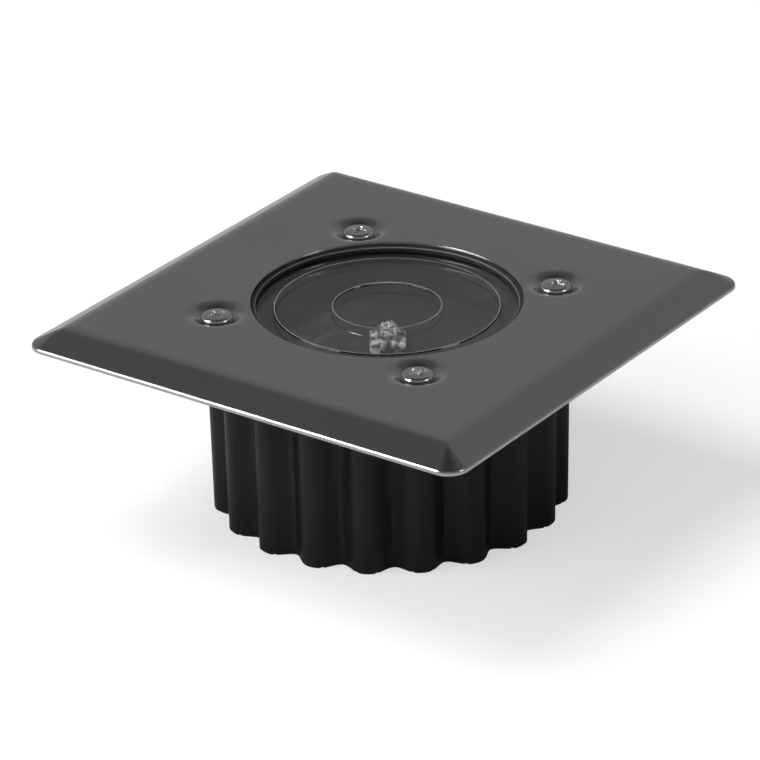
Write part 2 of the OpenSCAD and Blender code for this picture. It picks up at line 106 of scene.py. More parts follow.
SIDE_POINTS = 120
CORNER_POINTS = 32
BLEND_STEPS = 14
FOLD_STEPS = 18
SLOPE_STEPS = 9
EDGE_STEPS = 10
LIP_ROUND_STEPS = 4
INNER_FOLD_STEPS = 8
INNER_SLOPE_STEPS = 5
BRIGHT_RINGS = 4
HOLE_SEGMENTS = 40

# Cover screws, with lengths in millimetres and turns in degrees; heights are over the head's seat, but the
# recess's are over and under the head's top

SCREW_AT = (SCREW_LOW.x + SCREW_HIGH.x) / 2 / MM
SCREW_TIP = SCREW_LOW.z / MM
HEAD_R = 3.45
HEAD_H = 1.6
HEAD_WALL = 0.6
HEAD_FOOT = ((HEAD_R - 0.17, 0.0), (HEAD_R - 0.05, 0.07), (HEAD_R, 0.2), (HEAD_R, HEAD_WALL))
HEAD_ROUND = 0.85
HEAD_ROUND_H = 0.84
HEAD_ROUND_LOW = 0.62
HEAD_ROUND_FROM = 4
HEAD_ROUND_TURN = 84
HEAD_ROUND_STEPS = 10
HEAD_CROWN = ((2.1, HEAD_H - 0.09), (1.5, HEAD_H - 0.04), (0.8, HEAD_H - 0.01), (0.0, HEAD_H))
HEAD_SEGMENTS = 64
SHANK_R = 1.7
CORE_R = 1.3
POINT_R = 0.5
POINT_CONE_R = 0.85
POINT_CONE_H = 0.45
THREAD_START = 0.9
THREAD_END = -0.9
THREAD_PITCH = 0.6
CREST_SHARES = (0.42, 0.55)
SHANK_TOP = ((SHANK_R, -0.35), (SHANK_R, -0.02), (SHANK_R + 0.1, 0.0))
RECESS_TURNS = (12, 14, 71, 68)
RECESS_CUT_TOP = 0.6
ARM_START = -0.3
ARM_TOP = (2.3, 0.52)
ARM_LOW = (1.0, 0.36)
ARM_DEPTH = 1.25
TICK_START = 0.3
TICK_TOP = (1.25, 0.09)
TICK_LOW = (0.95, 0.07)
TICK_DEPTH = 0.45
HEAD_SOFT = 0.09
HEAD_SOFT_OVER = math.radians(35)
HEAD_SHARP_OVER = math.radians(40)

# Lens and gasket, with lengths in millimetres; bands are counted along the lens's outline, from below

LENS_STEP = 0.3
STEP_R = 24.0
DISC_R = 11.5
LINE_W = 0.24
RIM_BANDS = (2, 3, 4)
LINE_BANDS = (7, 9)
GASKET_IN = 28.0
GASKET_ROUND = 0.16
GASKET_ROUND_STEPS = 6
DISC_SEGMENTS = 240
WELD_REACH = 0.001

# Housing's skirt, with lengths in millimetres

LOBES = 20
LOBE_START = math.radians(-62.6)
LOBE_TIP_R = 38.5
LOBE_DEPTH = 3.3
LOBE_CORE_REACH = 36.7
LOBE_CORE_HALF = 2.15
SKIRT_INNER_REACH = 34.4
SKIRT_TOP = 41.0
SKIRT_CHAMFER = 0.4
DRAFT = math.tan(math.radians(0.7))
FLUTE_POWER = 1.4
SKIRT_SHARP_OVER = math.radians(30)

# Lamp and parts inside, with lengths in millimetres

LAMP_BASE = 2.2
LAMP_BLEND = 0.2
LAMP_TURN = math.radians(35)
RESISTOR_BAND_FIRST = 1.95
RESISTOR_BAND_STEP = 1.3
RESISTOR_BAND_W = 0.6
CAPACITOR_BAND_AT = 2.9
CAPACITOR_BAND_W = 1.0


# Node helpers

def rgb(r, g, b):
    return (r, g, b, 1.0)


def grey(value):
    return rgb(value, value, value)


def add(tree, kind, inputs=None, **settings):
    """A new node with these input values and settings."""
    node = tree.nodes.new(kind)
    for key, value in settings.items():
        setattr(node, key, value)
    for key, value in (inputs or {}).items():
        node.inputs[key].default_value = value
    return node


def new_material(name):
    material = bpy.data.materials.new(name)
    material.use_nodes = True
    tree = material.node_tree
    return material, tree, tree.nodes["Principled BSDF"]


def object_coords(tree, stretch=(1.0, 1.0, 1.0), turn=(0.0, 0.0, 0.0)):
    coords = add(tree, "ShaderNodeTexCoord")
    mapping = add(tree, "ShaderNodeMapping", {"Scale": stretch, "Rotation": turn})
    tree.links.new(coords.outputs["Object"], mapping.inputs["Vector"])
    return mapping.outputs["Vector"]


def upright_part(tree, vector):
    """The vector's upright part."""
    split = add(tree, "ShaderNodeSeparateXYZ")
    tree.links.new(vector, split.inputs["Vector"])
    return split.outputs["Z"]


def noise_value(tree, vector, scale, detail=3.0, rough=0.5):
    texture = add(tree, "ShaderNodeTexNoise", {"Scale": scale, "Detail": detail, "Roughness": rough})
    tree.links.new(vector, texture.inputs["Vector"])
    return texture.outputs["Fac"]


def mapped(tree, value, low, high, start=0.3, end=0.7):
    """Low where the value is at start, high where it is at end, and even steps between."""
    limits = {"From Min": start, "From Max": end, "To Min": low, "To Max": high}
    node = add(tree, "ShaderNodeMapRange", limits)
    tree.links.new(value, node.inputs["Value"])
    return node.outputs["Result"]


def combined(tree, operation, *values):
    """A math node's result from values that are each a number or another node's output."""
    node = add(tree, "ShaderNodeMath", operation=operation)
    for place, value in zip(node.inputs, values):
        if isinstance(value, float):
            place.default_value = value
        else:
            tree.links.new(value, place)
    return node.outputs["Value"]


def mixed_colour(tree, fac, a, b):
    node = add(tree, "ShaderNodeMix", data_type="RGBA")
    node.inputs["A"].default_value = a
    node.inputs["B"].default_value = b
    tree.links.new(fac, node.inputs["Factor"])
    return node.outputs["Result"]


def mixed_shader(tree, fac, a, b):
    node = add(tree, "ShaderNodeMixShader")
    tree.links.new(fac, node.inputs["Fac"])
    tree.links.new(a, node.inputs[1])
    tree.links.new(b, node.inputs[2])
    return node.outputs["Shader"]


def bumped(tree, height, distance, strength=1.0, normal=None):
    node = add(tree, "ShaderNodeBump", {"Strength": strength, "Distance": distance})
    tree.links.new(height, node.inputs["Height"])
    if normal is not None:
        tree.links.new(normal, node.inputs["Normal"])
    return node.outputs["Normal"]


# Materials

def surface(name, dark, light, rough, metallic=0.0, specular=0.5, blotch=180.0, grain=5000.0, bump=0.02,
            wide=60.0, wide_bump=0.0):
    """A solid material with varied colour, roughness and relief.

    Blotch, grain and wide are counts per metre, and the bumps are in millimetres."""
    material, tree, shader = new_material(name)
    vector = object_coords(tree)
    blotches = mapped(tree, noise_value(tree, vector, blotch), 0.0, 1.0)
    grains = noise_value(tree, vector, grain, detail=2.0)
    tree.links.new(mixed_colour(tree, blotches, dark, light), shader.inputs["Base Color"])
    tree.links.new(mapped(tree, grains, *rough), shader.inputs["Roughness"])
    normal = bumped(tree, grains, bump * MM)
    if wide_bump:
        normal = bumped(tree, noise_value(tree, vector, wide), wide_bump * MM, normal=normal)
    tree.links.new(normal, shader.inputs["Normal"])
    shader.inputs["Metallic"].default_value = metallic
    shader.inputs["Specular IOR Level"].default_value = specular
    return material


def lens_material():
    """Clear plastic that lets shadow rays through, with a faint haze of marks and a few bluish streaks,
    painted reflections.
    """
    material, tree, shader = new_material("lens_clear")
    vector = object_coords(tree)
    marks = noise_value(tree, vector, scale=90.0, detail=5.0, rough=0.6)
    fine = noise_value(tree, vector, scale=2500.0, detail=2.0)
    along = object_coords(tree, stretch=(1.0, 0.16, 1.0), turn=(0.0, 0.0, LAMP_TURN))
    streak_noise = noise_value(tree, along, scale=110.0, detail=4.0, rough=0.6)
    shader.inputs["Base Color"].default_value = rgb(0.96, 0.975, 0.975)
    shader.inputs["Transmission Weight"].default_value = 1.0
    shader.inputs["IOR"].default_value = 1.47
    tree.links.new(mapped(tree, marks, 0.0, 0.03), shader.inputs["Roughness"])
    tree.links.new(bumped(tree, fine, 0.01 * MM, strength=0.5), shader.inputs["Normal"])
    haze_and_reflection_film = add(tree, "ShaderNodeBsdfDiffuse", {"Color": rgb(0.52, 0.55, 0.58)})
    haze = mapped(tree, marks, 0.0, 0.006, start=0.45, end=0.75)
    # Stretched bluish streaks of the film: painted reflections in the lens
    painted_reflection_streaks = mapped(tree, streak_noise, 0.0, 0.05, start=0.57, end=0.72)
    haze_and_streak_amount = combined(tree, "ADD", haze, painted_reflection_streaks)
    haze_and_streaks_shader = mixed_shader(tree, haze_and_streak_amount, shader.outputs["BSDF"], haze_and_reflection_film.outputs["BSDF"])
    path = add(tree, "ShaderNodeLightPath")
    through = add(tree, "ShaderNodeBsdfTransparent", {"Color": grey(0.9)})
    final = mixed_shader(tree, path.outputs["Is Shadow Ray"], haze_and_streaks_shader, through.outputs["BSDF"])
    tree.links.new(final, tree.nodes["Material Output"].inputs["Surface"])
    return material


def lamp_material():
    """Clear epoxy; the square base below the dome has whiter, less clear patches, painted reflections of the
    metal inside.
    """
    material, tree, shader = new_material("lamp_epoxy_clear")
    vector = object_coords(tree)
    facets = noise_value(tree, vector, scale=520.0, detail=2.0, rough=0.6)
    fine = noise_value(tree, vector, scale=900.0, detail=2.0)
    base_top = LAMP_LOW.z + LAMP_BASE * MM
    blend = LAMP_BLEND * MM
    height = upright_part(tree, vector)
    in_base = mapped(tree, height, 1.0, 0.0, start=base_top - blend, end=base_top + blend)
    # Whiter, less clear patches in the base: painted reflections
    broken = mapped(tree, facets, 0.0, 1.0, start=0.46, end=0.56)
    bright = combined(tree, "MULTIPLY", broken, in_base)
    clearness = mapped(tree, bright, 1.0, 0.1, start=0.0, end=1.0)
    tree.links.new(mixed_colour(tree, bright, grey(0.9), grey(0.97)), shader.inputs["Base Color"])
    tree.links.new(clearness, shader.inputs["Transmission Weight"])
    tree.links.new(mapped(tree, fine, 0.02, 0.12), shader.inputs["Roughness"])
    tree.links.new(bumped(tree, facets, 0.9 * MM), shader.inputs["Normal"])
    shader.inputs["IOR"].default_value = 1.52
    return material


def die_material():
    """The lamp chip's yellow coating, finely speckled."""
    material, tree, shader = new_material("lamp_chip_coated")
    spots = noise_value(tree, object_coords(tree), scale=4000.0)
    colour = mixed_colour(tree, spots, rgb(0.75, 0.6, 0.12), rgb(0.85, 0.78, 0.3))
    tree.links.new(colour, shader.inputs["Base Color"])
    tree.links.new(mapped(tree, spots, 0.3, 0.5), shader.inputs["Roughness"])
    return material


def board_material():
    """Green solder resist over a woven laminate."""
    material, tree, shader = new_material("board_solder_resist")
    threads = []
    for turn in (0.0, math.pi / 2):
        wave = add(tree, "ShaderNodeTexWave", {"Scale": 700.0, "Distortion": 0.6, "Detail": 1.0})
        tree.links.new(object_coords(tree, turn=(0.0, 0.0, turn)), wave.inputs["Vector"])
        threads.append(wave.outputs["Fac"])
    weave = combined(tree, "MULTIPLY", *threads)
    patches = noise_value(tree, object_coords(tree), scale=250.0)
    colour = mixed_colour(tree, patches, rgb(0.015, 0.09, 0.04), rgb(0.03, 0.15, 0.07))
    tree.links.new(colour, shader.inputs["Base Color"])
    tree.links.new(mapped(tree, patches, 0.22, 0.34), shader.inputs["Roughness"])
    tree.links.new(bumped(tree, weave, 0.02 * MM), shader.inputs["Normal"])
    shader.inputs["Coat Weight"].default_value = 0.4
    return material


def banded_material(name, body, bands, axis, start, step, width):
    """A lacquered body with colour bands across its length; places in metres along an axis."""
    material, tree, shader = new_material(name)
    vector = object_coords(tree)
    along = add(tree, "ShaderNodeVectorMath", operation="DOT_PRODUCT")
    tree.links.new(vector, along.inputs[0])
    along.inputs[1].default_value = axis
    lighter = rgb(*(c * 1.2 for c in body[:3]))
    colour = mixed_colour(tree, noise_value(tree, vector, scale=900.0), body, lighter)
    for i, band in enumerate(bands):
        on_band = combined(tree, "COMPARE", along.outputs["Value"], start + step * i, width / 2)
        node = add(tree, "ShaderNodeMix", data_type="RGBA")
        node.inputs["B"].default_value = band
        tree.links.new(on_band, node.inputs["Factor"])
        tree.links.new(colour, node.inputs["A"])
        colour = node.outputs["Result"]
    tree.links.new(colour, shader.inputs["Base Color"])
    grains = noise_value(tree, vector, scale=3000.0)
    tree.links.new(mapped(tree, grains, 0.25, 0.4), shader.inputs["Roughness"])
    return material


def resistor_material():
    brown, black, gold = rgb(0.18, 0.05, 0.02), rgb(0.01, 0.01, 0.01), rgb(0.6, 0.42, 0.1)
    axis = Vector((-math.sin(LAMP_TURN), math.cos(LAMP_TURN), 0.0))
    start = ((RESISTOR_LOW + RESISTOR_HIGH) / 2).dot(axis) - RESISTOR_BAND_FIRST * MM
    return banded_material("resistor_lacquer", rgb(0.5, 0.38, 0.22), [brown, black, brown, gold],
                           axis, start, RESISTOR_BAND_STEP * MM, RESISTOR_BAND_W * MM)


def capacitor_material():
    axis = Vector((math.cos(LAMP_TURN), math.sin(LAMP_TURN), 0.0))
    start = ((CAPACITOR_LOW + CAPACITOR_HIGH) / 2).dot(axis) - CAPACITOR_BAND_AT * MM
    return banded_material("capacitor_shrink_sleeve", rgb(0.02, 0.03, 0.09), [rgb(0.45, 0.47, 0.5)],
                           axis, start, CAPACITOR_BAND_W * MM, CAPACITOR_BAND_W * MM)


STEEL = surface("sheet_steel", rgb(0.49, 0.489, 0.472), rgb(0.515, 0.513, 0.497), (0.15, 0.19),
                metallic=1.0, blotch=30.0, grain=1500.0, bump=0.0004, wide=35.0, wide_bump=0.01)
# The lip's foot and cut edge get a lighter copy of the sheet steel: a painted highlight on the lip
EDGE = surface("sheet_edge_painted_highlight", rgb(0.56, 0.56, 0.55), rgb(0.66, 0.66, 0.65), (0.2, 0.3),
               metallic=1.0, blotch=300.0, grain=3000.0, bump=0.004)
SCREW = surface("screw_steel_plated", rgb(0.6, 0.6, 0.59), rgb(0.7, 0.7, 0.69), (0.12, 0.24),
                metallic=1.0, blotch=600.0, grain=3500.0, bump=0.01)
# A lighter copy of the screw steel in the cross recess: painted glints, with real relief from its bumps
RECESS = surface("screw_recess_lighter_for_glints", rgb(0.7, 0.7, 0.69), rgb(0.85, 0.85, 0.84), (0.08, 0.2),
                 metallic=1.0, blotch=900.0, grain=2200.0, bump=0.14)
BRASS = surface("insert_brass_turned", rgb(0.62, 0.45, 0.2), rgb(0.76, 0.58, 0.3), (0.2, 0.35),
                metallic=1.0, grain=2500.0)
TIN = surface("tinned_lead_metal", rgb(0.68, 0.68, 0.66), rgb(0.82, 0.82, 0.8), (0.12, 0.25),
              metallic=1.0, grain=3000.0)
RUBBER = surface("black_rubber_soft", rgb(0.012, 0.012, 0.013), rgb(0.028, 0.028, 0.029), (0.5, 0.7),
                 grain=4000.0)
# Lighter grey on the gasket's rounded inner edge: a painted highlight
RUBBER_EDGE = surface("rubber_edge_painted_highlight", rgb(0.1, 0.1, 0.1), rgb(0.17, 0.17, 0.17), (0.4, 0.6),
                      blotch=120.0, grain=4000.0)
HOUSING = surface("housing_plastic_moulded", rgb(0.005, 0.005, 0.0055), rgb(0.008, 0.008, 0.0085),
                  (0.34, 0.44), specular=0.34, blotch=60.0, grain=4500.0, bump=0.012, wide=70.0,
                  wide_bump=0.05)
TRAY = surface("tray_plastic_moulded", rgb(0.006, 0.006, 0.0065), rgb(0.011, 0.011, 0.012), (0.4, 0.55),
               blotch=120.0, bump=0.01)
GLAND = surface("gland_nylon_moulded", rgb(0.018, 0.018, 0.02), rgb(0.03, 0.03, 0.032), (0.4, 0.55))
RESIN = surface("moulded_resin", rgb(0.015, 0.015, 0.017), rgb(0.03, 0.03, 0.033), (0.5, 0.65),
                grain=7000.0)
TERMINAL = surface("terminal_plastic_green", rgb(0.04, 0.23, 0.11), rgb(0.07, 0.31, 0.16), (0.4, 0.55))
# Grey bands on the lens's rim and its two moulded steps: painted highlights of that edge and those steps
STEP_HIGHLIGHT = surface("lens_step_painted_highlight", rgb(0.14, 0.14, 0.14), rgb(0.24, 0.24, 0.24), (0.3, 0.45),
                blotch=250.0)
LENS = lens_material()
LAMP = lamp_material()
DIE = die_material()
BOARD = board_material()
RESISTOR = resistor_material()
SLEEVE = capacitor_material()

NODE_MATERIALS = {
    STEEL: ["cover_plate"],
    SCREW: ["cover_screw_1", "cover_screw_2", "cover_screw_3", "cover_screw_4", "board_screw_1",
            "board_screw_2"],
    BRASS: ["thread_insert_1", "thread_insert_2", "thread_insert_3", "thread_insert_4"],
    TIN: ["lamp_frame", "terminal_screws", "terminal_clamps"],
    LENS: ["lens"],
    LAMP: ["lamp_body"],
    RUBBER: ["lens_gasket", "lens_seal", "gland_washer", "gland_seal"],
    HOUSING: ["housing"],
    TRAY: ["inner_tray"],
    GLAND: ["gland_body", "gland_locknut", "gland_nut"],
    BOARD: ["circuit_board"],
    DIE: ["lamp_die"],
    RESIN: ["rectifier"],
    RESISTOR: ["resistor"],
    SLEEVE: ["capacitor"],
    TERMINAL: ["terminal_block"],
}
for material, names in NODE_MATERIALS.items():
    for name in names:
        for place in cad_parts[name].material_slots:
            place.material = material


# Mesh helpers

def new_object(name, data):
    made = bpy.data.objects.new(name, data)
    bpy.context.scene.collection.objects.link(made)
    return made


def mesh_object(name, vertices, faces, materials, indices=None, smooth_angle=None):
    """A smooth-shaded object from vertices in millimetres; folds over smooth_angle degrees stay sharp."""
    mesh = bpy.data.meshes.new(name)
    mesh.from_pydata([tuple(c * MM for c in v) for v in vertices], [], faces)
    for material in materials:
        mesh.materials.append(material)
    if indices is not None:
        mesh.polygons.foreach_set("material_index", indices)
    mesh.update()
    made = new_object(name, mesh)
    mesh.shade_smooth()
    if smooth_angle is not None:
        mesh.set_sharp_from_angle(angle=math.radians(smooth_angle))
    return made


def cut_away(piece, cutter):
    """A modifier that takes the cutter's shape out of the piece."""
    cut = piece.modifiers.new("cut", "BOOLEAN")
    cut.operation = "DIFFERENCE"
    cut.solver = "EXACT"
    cut.object = cutter
    return cut


def apply_modifiers(piece):
    graph = bpy.context.evaluated_depsgraph_get()
    mesh = bpy.data.meshes.new_from_object(piece.evaluated_get(graph), depsgraph=graph)
    old = piece.data
    piece.modifiers.clear()
    piece.data = mesh
    bpy.data.meshes.remove(old)


def finish_piece(piece, nodes):
    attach(piece, ROOT)
    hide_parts(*nodes)


def smooth_step(a, b, x):
    """From 0 where x is at a to 1 where it is at b, easing in and out."""
    t = min(max((x - a) / (b - a), 0.0), 1.0)
    return t * t * (3 - 2 * t)


def between(first, last, steps):
    """The points that divide the way between two points into equal steps, without the two themselves."""
    made = []
    for i in range(1, steps):
        t = i / steps
        made.append(tuple(a + (b - a) * t for a, b in zip(first, last)))
    return made


def lathe(profile, segments, centre=(0.0, 0.0, 0.0)):
    """Vertices and faces of a profile of (r, z) turned round +Z; a radius of zero makes a pole."""
    vertices, faces, rings = [], [], []
    for r, z in profile:
        if r == 0:
            rings.append([len(vertices)] * segments)
            vertices.append((centre[0], centre[1], centre[2] + z))
        else:
            rings.append(list(range(len(vertices), len(vertices) + segments)))
            for i in range(segments):
                a = 2 * math.pi * i / segments
                vertices.append((centre[0] + r * math.cos(a), centre[1] + r * math.sin(a), centre[2] + z))
    for low, high in zip(rings, rings[1:]):
        for i in range(segments):
            j = (i + 1) % segments
            face = list(dict.fromkeys((low[i], low[j], high[j], high[i])))
            if len(face) > 2:
                faces.append(face)
    return vertices, faces


# Pressed cover plate

def outline_points(inset):
    """Points round the plate's square at an inset from its edge, with their outward normals."""
    left = CORNER_R - inset
    radius = (left + math.hypot(left, CORNER_SOFT)) / 2
    half = PLATE_HALF - inset
    at = half - radius
    points = []
    for side in range(4):
        turn = Matrix.Rotation(side * math.pi / 2, 2)
        for i in range(SIDE_POINTS):
            t = -1 + 2 * (i + 0.5) / SIDE_POINTS
            points.append((turn @ Vector((half, at * t)), turn @ Vector((1.0, 0.0))))
        for i in range(CORNER_POINTS):
            a = math.pi / 2 * (i + 0.5) / CORNER_POINTS
            normal = Vector((math.cos(a), math.sin(a)))
            points.append((turn @ (Vector((at, at)) + normal * radius), turn @ normal))
    return points


def border_profile():
    """(inset, depth) pairs of the sheet's outer face, from the flat top over the fold and down the lip."""
    pairs = [(FOLD_END + margin, 0.0) for margin in FLAT_MARGINS]
    for i in range(FOLD_STEPS + 1):
        a = BEVEL_SLOPE * i / FOLD_STEPS
        pairs.append((FOLD_END - FOLD_R * math.sin(a), FOLD_R * (1 - math.cos(a))))
    lip_bend = EDGE_R * math.tan((math.pi / 2 - BEVEL_SLOPE) / 2)
    slope_end = (lip_bend * math.cos(BEVEL_SLOPE), BEVEL_DROP - lip_bend * math.sin(BEVEL_SLOPE))
    pairs += between(pairs[-1], slope_end, SLOPE_STEPS)
    for i in range(EDGE_STEPS + 1):
        a = BEVEL_SLOPE + (math.pi / 2 - BEVEL_SLOPE) * i / EDGE_STEPS
        pairs.append((EDGE_R - EDGE_R * math.sin(a), BEVEL_DROP + lip_bend - EDGE_R * math.cos(a)))
    pairs.append((0.0, PLATE_DEPTH - LIP_ROUND - LIP_FACE_GAP))
    return pairs


def edge_profile():
    """(inset, depth) pairs of the sheet's cut edge at the foot of the lip, rounded on both sides."""
    r = LIP_ROUND
    centre = PLATE_DEPTH - r
    pairs = []
    for i in range(1, LIP_ROUND_STEPS + 1):
        a = math.pi / 2 * i / LIP_ROUND_STEPS
        pairs.append((r - r * math.cos(a), centre + r * math.sin(a)))
    for i in range(LIP_ROUND_STEPS + 1):
        a = math.pi / 2 * i / LIP_ROUND_STEPS
        pairs.append((SHEET - r + r * math.sin(a), centre + r * math.cos(a)))
    return pairs


def inner_profile():
    """(inset, depth) pairs of the sheet's inner face, from the foot of the lip back up to the flat."""
    corner = SHEET / math.cos(BEVEL_SLOPE) + (BEVEL_DROP - SHEET * math.tan(BEVEL_SLOPE))
    lip = [(SHEET, (PLATE_DEPTH + corner) / 2), (SHEET, corner + INNER_CORNER_DROP),
           (SHEET + INNER_CORNER_IN, corner - INNER_CORNER_RISE)]
    r = FOLD_R - SHEET
    fold = []
    for i in range(INNER_FOLD_STEPS + 1):
        a = BEVEL_SLOPE * (1 - i / INNER_FOLD_STEPS)
        fold.append((FOLD_END - r * math.sin(a), SHEET + r * (1 - math.cos(a))))
    flat = [(FOLD_END + margin, SHEET) for margin in reversed(FLAT_MARGINS)]
    return lip + between(lip[-1], fold[0], INNER_SLOPE_STEPS) + fold + flat


def dimple_at(x, y):
    """A dimple's depth: steep beside the head and easing out into the flat."""
    away = math.hypot(abs(x) - SCREW_AT, abs(y) - SCREW_AT)
    left = min(max((DIMPLE_EDGE - away) / (DIMPLE_EDGE - DIMPLE_FLOOR), 0.0), 1.0)
    return DIMPLE_DEPTH * left ** DIMPLE_POWER


def press_wave(x, y):
    """The sheet's slight unevenness after pressing, in millimetres, never outwards."""
    return PRESS_DEPTH * (noise.noise(Vector((x * PRESS_SCALE, y * PRESS_SCALE, PRESS_SEED))) - 1.0)


def circle_ring(ways, radius, side):
    """A round ring of points on the sheet's upper face, side 0, or its lower face, side 1."""
    ring = []
    for d in ways:
        x, y = d.x * radius, d.y * radius
        ring.append((x, y, -dimple_at(x, y) - side * SHEET))
    return ring


def border_ring(inset, depth, wave):
    """A square ring of points; wave, from 0 to 1, is how much of the edge's waviness it takes."""
    ring = []
    for where, normal in outline_points(inset):
        place = Vector((where.x * WAVE_SCALE, where.y * WAVE_SCALE, WAVE_SEED))
        p = where - normal * (wave * WAVE_DEPTH * (1 + noise.noise(place)))
        ring.append((p.x, p.y, -depth))
    return ring


def blend_rings(ways, radius, side):
    """The rings that lead from the last round ring to the first square one."""
    first = circle_ring(ways, radius, side)
    last = border_ring(FOLD_END + FLAT_MARGINS[0], side * SHEET, 0)
    lines = [between(a, b, BLEND_STEPS) for a, b in zip(first, last)]
    return list(zip(*lines))


def plate_rings():
    """The rings from the window over the top and back underneath, and the numbers of the cut edge's ends."""
    ways = [where.normalized() for where, normal in outline_points(0)]
    radii = [WINDOW_R + out for out in WINDOW_RINGS]
    radii += [WINDOW_R + FLAT_RING_FIRST + FLAT_RING_STEP * i for i in range(FLAT_RINGS)]
    rings = [circle_ring(ways, radius, 0) for radius in radii]
    rings += blend_rings(ways, radii[-1], 0)
    for inset, depth in border_profile():
        rings.append(border_ring(inset, depth, smooth_step(WAVE_REACH, 0.0, inset)))
    edge_start = len(rings) - BRIGHT_RINGS
    for inset, depth in edge_profile():
        rings.append(border_ring(inset, depth, 1))
    edge_end = len(rings) - 1
    for inset, depth in inner_profile():
        rings.append(border_ring(inset, depth, 1 - smooth_step(SHEET, SHEET + WAVE_REACH, inset)))
    rings += reversed(blend_rings(ways, radii[-1], 1))
    rings += [circle_ring(ways, radius, 1) for radius in reversed(radii)]
    for out, depth in WINDOW_WALL:
        rings.append([(d.x * (WINDOW_R + out), d.y * (WINDOW_R + out), -depth) for d in ways])
    return rings, edge_start, edge_end


def cut_screw_holes(plate):
    cutters = []
    outline = [(0.0, -HOLE_CUT_BELOW), (HOLE_R, -HOLE_CUT_BELOW), (HOLE_R, HOLE_CUT_ABOVE),
               (0.0, HOLE_CUT_ABOVE)]
    for sx in (-1, 1):
        for sy in (-1, 1):
            v, f = lathe(outline, HOLE_SEGMENTS, (sx * SCREW_AT, sy * SCREW_AT, PLATE_TOP))
            cutter = mesh_object("hole_cutter", v, f, [EDGE])
            cutters.append(cutter)
            cut_away(plate, cutter)
    apply_modifiers(plate)
    for cutter in cutters:
        bpy.data.objects.remove(cutter)


def cover_plate():
    """The sheet as one closed skin, with its border, lip, window, dimples and screw holes."""
    rings, edge_start, edge_end = plate_rings()
    vertices = [(x, y, PLATE_TOP + z + press_wave(x, y)) for ring in rings for x, y, z in ring]
    faces, indices = [], []
    count = len(rings[0])
    for k in range(len(rings)):
        n = (k + 1) % len(rings)
        for j in range(count):
            i = (j + 1) % count
            faces.append((k * count + j, n * count + j, n * count + i, k * count + i))
            indices.append(1 if edge_start <= k < edge_end else 0)
    plate = mesh_object("cover_plate_pressed", vertices, faces, [STEEL, EDGE], indices)
    cut_screw_holes(plate)
    finish_piece(plate, ["cover_plate"])


# Cover screws

def screw_profile(tip):
    """(radius, height) pairs from the shank's tip, over rings that show its thread, to the head's top."""
    profile = [(0.0, tip), (POINT_R, tip), (POINT_CONE_R, tip + POINT_CONE_H)]
    z = tip + THREAD_START
    while z < THREAD_END:
        profile.append((CORE_R, z))
        profile += [(SHANK_R, z + THREAD_PITCH * share) for share in CREST_SHARES]
        z += THREAD_PITCH
    profile += SHANK_TOP + HEAD_FOOT
    for i in range(HEAD_ROUND_STEPS + 1):
        a = math.radians(HEAD_ROUND_FROM + HEAD_ROUND_TURN * i / HEAD_ROUND_STEPS)
        out = HEAD_R - HEAD_ROUND + HEAD_ROUND * math.cos(a)
        profile.append((out, HEAD_ROUND_LOW + HEAD_ROUND_H * math.sin(a)))
    profile += HEAD_CROWN
    return profile


def add_wedge(cutter, degrees, start, top, low, depth):
    """One arm of the recess, turned by degrees; top and low are its (reach, half width) at either end."""
    spin = Matrix.Rotation(math.radians(degrees), 4, "Z")
    corners = []
    for (reach, half), z in ((top, RECESS_CUT_TOP), (low, -depth)):
        corners += [(start, -half, z), (reach, -half, z), (reach, half, z), (start, half, z)]
    made = [cutter.verts.new(spin @ Vector(c)) for c in corners]
    for face in ((3, 2, 1, 0), (4, 5, 6, 7), (0, 1, 5, 4), (1, 2, 6, 5), (2, 3, 7, 6), (3, 0, 4, 7)):
        cutter.faces.new([made[i] for i in face])


def recess_cutter(index, centre):
    """The cross recess with a short tick between its arms, as an object to cut the head with."""
    arms = bmesh.new()
    for quarter in range(4):
        add_wedge(arms, 90 * quarter, ARM_START, ARM_TOP, ARM_LOW, ARM_DEPTH)
    for quarter in range(4):
        add_wedge(arms, 45 + 90 * quarter, TICK_START, TICK_TOP, TICK_LOW, TICK_DEPTH)
    head_top = Matrix.Translation(Vector(centre) + Vector((0, 0, HEAD_H)))
    arms.transform(head_top @ Matrix.Rotation(math.radians(RECESS_TURNS[index]), 4, "Z"))
    bmesh.ops.recalc_face_normals(arms, faces=arms.faces)
    arms.transform(Matrix.Scale(MM, 4))
    mesh = bpy.data.meshes.new("recess_cutter")
    arms.to_mesh(mesh)
    arms.free()
    mesh.materials.append(RECESS)
    return new_object("recess_cutter", mesh)


def cover_screw(index):
    """A pan head with a cross recess, on its threaded shank."""
    turn = math.radians(45 + 90 * index)
    away = SCREW_AT * math.sqrt(2)
    centre = (away * math.cos(turn), away * math.sin(turn), PLATE_TOP - DIMPLE_DEPTH)
    v, f = lathe(screw_profile(SCREW_TIP - centre[2]), HEAD_SEGMENTS, centre)
    screw = mesh_object(f"cover_screw_head_{index + 1}", v, f, [SCREW])
    cutter = recess_cutter(index, centre)
    cut = cut_away(screw, cutter)
    cut.use_self = True
    cut.material_mode = "TRANSFER"
    soften = screw.modifiers.new("soften", "BEVEL")
    soften.width = HEAD_SOFT * MM
    soften.segments = 2
    soften.limit_method = "ANGLE"
    soften.angle_limit = HEAD_SOFT_OVER
    apply_modifiers(screw)
    bpy.data.objects.remove(cutter)
    screw.data.set_sharp_from_angle(angle=HEAD_SHARP_OVER)
    finish_piece(screw, [f"cover_screw_{index + 1}"])


# Fluted housing

def flute_share(phase):
    """How far in the skirt lies at a phase: 0 on a lobe's crest, 1 in the hollow between two lobes."""
    return (0.5 - 0.5 * math.cos(2 * math.pi * phase)) ** FLUTE_POWER


def on_skirt_face(r, across):
    """Whether a point is on the skirt's outer face, not on its inner wall or in a lobe's hollow core."""
    return r > (LOBE_CORE_REACH if abs(across) < LOBE_CORE_HALF else SKIRT_INNER_REACH)


